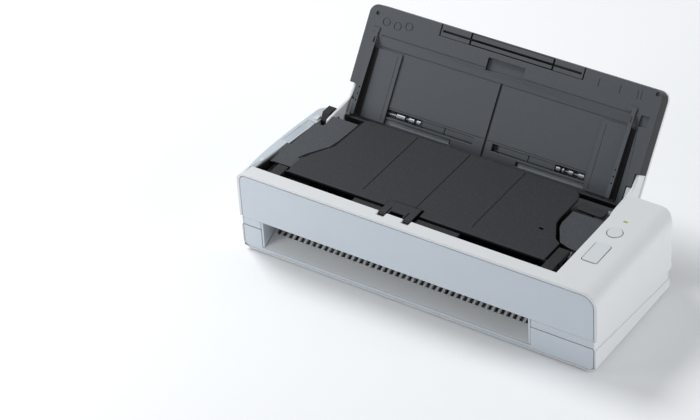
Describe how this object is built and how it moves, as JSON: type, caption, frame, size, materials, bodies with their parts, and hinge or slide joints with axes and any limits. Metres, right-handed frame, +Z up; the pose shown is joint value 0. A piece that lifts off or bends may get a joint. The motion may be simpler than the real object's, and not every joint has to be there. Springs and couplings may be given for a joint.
{
  "type": "document scanner",
  "caption": "Compact sheet-fed document scanner with its hinged paper cover open as a chute, side guides, inner cover, return slot, two buttons and a drive.",
  "frame": {"origin": "under the middle of the open scanner, on the surface that it stands on", "axes": "+X to the right along the front, +Y to the back, +Z up"},
  "size_m": [0.296, 0.1738, 0.1241],
  "materials": {
    "white_casing": "fine satin moulded plastic",
    "grey_panel": "matt pale grey moulded plastic",
    "black_liner": "fine textured black plastic",
    "black_deck": "fine textured black plastic",
    "dark_inside": "matt black plastic",
    "steel": "drawn steel",
    "rubber": "matt rubber",
    "status_lens": "clear lens that shows a green light",
    "board": "glass fibre board with solder resist",
    "glass": "clear scanning glass"
  },
  "bodies": {
    "casing": {"lower_casing": "white_casing", "upper_casing": "white_casing", "front_panel": "grey_panel", "front_sill": "grey_panel", "foot_1": "rubber", "foot_2": "rubber", "foot_3": "rubber", "foot_4": "rubber", "status_light": "status_lens", "slot_tray": "white_casing", "exit_frame": "dark_inside", "exit_trough": "dark_inside", "lower_glass": "glass", "lower_sensor": "dark_inside", "lower_guide": "dark_inside", "side_well_left": "black_deck", "side_well_right": "black_deck", "hinge_bracket_left": "dark_inside", "hinge_bracket_right": "dark_inside", "hinge_pin_left": "steel", "hinge_pin_right": "steel", "chassis_left": "steel", "chassis_right": "steel", "chassis_tie": "steel", "motor": "steel", "drive_belt": "rubber", "main_board": "board", "power_inlet": "dark_inside", "data_port": "steel", "case_screw_1": "steel", "case_screw_2": "steel"},
    "paper_cover": {"cover_shell": "white_casing", "chute_liner": "black_liner"},
    "left_guide": {"guide_left": "black_liner"},
    "right_guide": {"guide_right": "black_liner"},
    "rack_pinion": {"guide_pinion": "white_casing"},
    "extension": {"extension_tray": "black_deck"},
    "end_flap": {"extension_flap": "black_deck"},
    "left_chute_roller": {"chute_roller_left": "steel"},
    "right_chute_roller": {"chute_roller_right": "steel"},
    "paper_stop": {"stopper": "black_deck"},
    "inner_unit": {"inner_cover": "black_deck", "upper_glass": "glass", "upper_sensor": "dark_inside"},
    "pinch_shaft": {"pinch_roller": "rubber"},
    "release": {"release_lever": "black_deck"},
    "power_key": {"power_button": "grey_panel"},
    "scan_key": {"scan_button": "grey_panel"},
    "feed_shaft": {"feed_roller": "rubber"},
    "exit_shaft": {"exit_roller": "rubber"},
    "idler_shaft": {"exit_idler": "rubber"},
    "motor_shaft": {"motor_pulley": "steel"}
  },
  "joints": [
    {"name": "cover_hinge", "type": "hinge", "parent": "casing", "child": "paper_cover", "pos_m": [-0.0115, 0.01411, 0.0575], "axis": [-1, 0, 0], "range_deg": [-125.5, 0]},
    {"name": "left_guide_slide", "type": "slide", "parent": "paper_cover", "child": "left_guide", "axis": [1, 0, 0], "range_m": [0, 0.055]},
    {"name": "right_guide_slide", "type": "slide", "parent": "paper_cover", "child": "right_guide", "axis": [1, 0, 0], "range_m": [-0.055, 0]},
    {"name": "pinion_turn", "type": "hinge", "parent": "paper_cover", "child": "rack_pinion", "pos_m": [-0.0133, 0.0404, 0.06061], "axis": [0, -0.8141, 0.5807], "range_deg": [-800, 800]},
    {"name": "extension_slide", "type": "slide", "parent": "paper_cover", "child": "extension", "axis": [0, 0.5807, 0.8141], "range_m": [0, 0.05]},
    {"name": "end_flap_hinge", "type": "hinge", "parent": "extension", "child": "end_flap", "pos_m": [-0.01225, 0.07585, 0.12167], "axis": [-1, 0, 0], "range_deg": [0, 75]},
    {"name": "left_chute_roller_turn", "type": "hinge", "parent": "paper_cover", "child": "left_chute_roller", "pos_m": [-0.083, 0.03607, 0.06039], "axis": [1, 0, 0], "continuous": true},
    {"name": "right_chute_roller_turn", "type": "hinge", "parent": "paper_cover", "child": "right_chute_roller", "pos_m": [0.0571, 0.03607, 0.06039], "axis": [1, 0, 0], "continuous": true},
    {"name": "paper_stop_hinge", "type": "hinge", "parent": "casing", "child": "paper_stop", "pos_m": [-0.0186, -0.07749, 0.0667], "axis": [1, 0, 0], "range_deg": [0, 70]},
    {"name": "inner_cover_hinge", "type": "hinge", "parent": "casing", "child": "inner_unit", "pos_m": [-0.0105, -0.06589, 0.0646], "axis": [1, 0, 0], "range_deg": [0, 50]},
    {"name": "pinch_roller_turn", "type": "hinge", "parent": "inner_unit", "child": "pinch_shaft", "pos_m": [-0.0125, -0.00904, 0.04793], "axis": [1, 0, 0], "continuous": true},
    {"name": "release_slide", "type": "slide", "parent": "casing", "child": "release", "axis": [0, -1, 0], "range_m": [0, 0.0024], "stiffness_N_per_m": 200},
    {"name": "power_button_press", "type": "slide", "parent": "casing", "child": "power_key", "axis": [0, 0, -1], "range_m": [0, 0.001], "stiffness_N_per_m": 400, "springref_m": -0.0005},
    {"name": "scan_button_press", "type": "slide", "parent": "casing", "child": "scan_key", "axis": [0, 0, -1], "range_m": [0, 0.001], "stiffness_N_per_m": 400, "springref_m": -0.0005},
    {"name": "feed_roller_turn", "type": "hinge", "parent": "casing", "child": "feed_shaft", "pos_m": [-0.005, -0.00419, 0.0375], "axis": [1, 0, 0], "continuous": true},
    {"name": "exit_roller_turn", "type": "hinge", "parent": "casing", "child": "exit_shaft", "pos_m": [-0.005, -0.05761, 0.0137], "axis": [1, 0, 0], "continuous": true},
    {"name": "exit_idler_turn", "type": "hinge", "parent": "casing", "child": "idler_shaft", "pos_m": [-0.005, -0.06175, 0.02258], "axis": [1, 0, 0], "continuous": true},
    {"name": "motor_turn", "type": "hinge", "parent": "casing", "child": "motor_shaft", "pos_m": [0.107, 0.00311, 0.017], "axis": [1, 0, 0], "continuous": true}
  ],
  "couplings": [
    {"joint": "right_guide_slide", "follows": "left_guide_slide", "ratio": -1},
    {"joint": "pinion_turn", "follows": "left_guide_slide", "rad_per_m": 238.09},
    {"joint": "exit_roller_turn", "follows": "feed_roller_turn", "ratio": 1},
    {"joint": "motor_turn", "follows": "feed_roller_turn", "ratio": 1.3333},
    {"joint": "exit_idler_turn", "follows": "feed_roller_turn", "ratio": -1.7143}
  ]
}
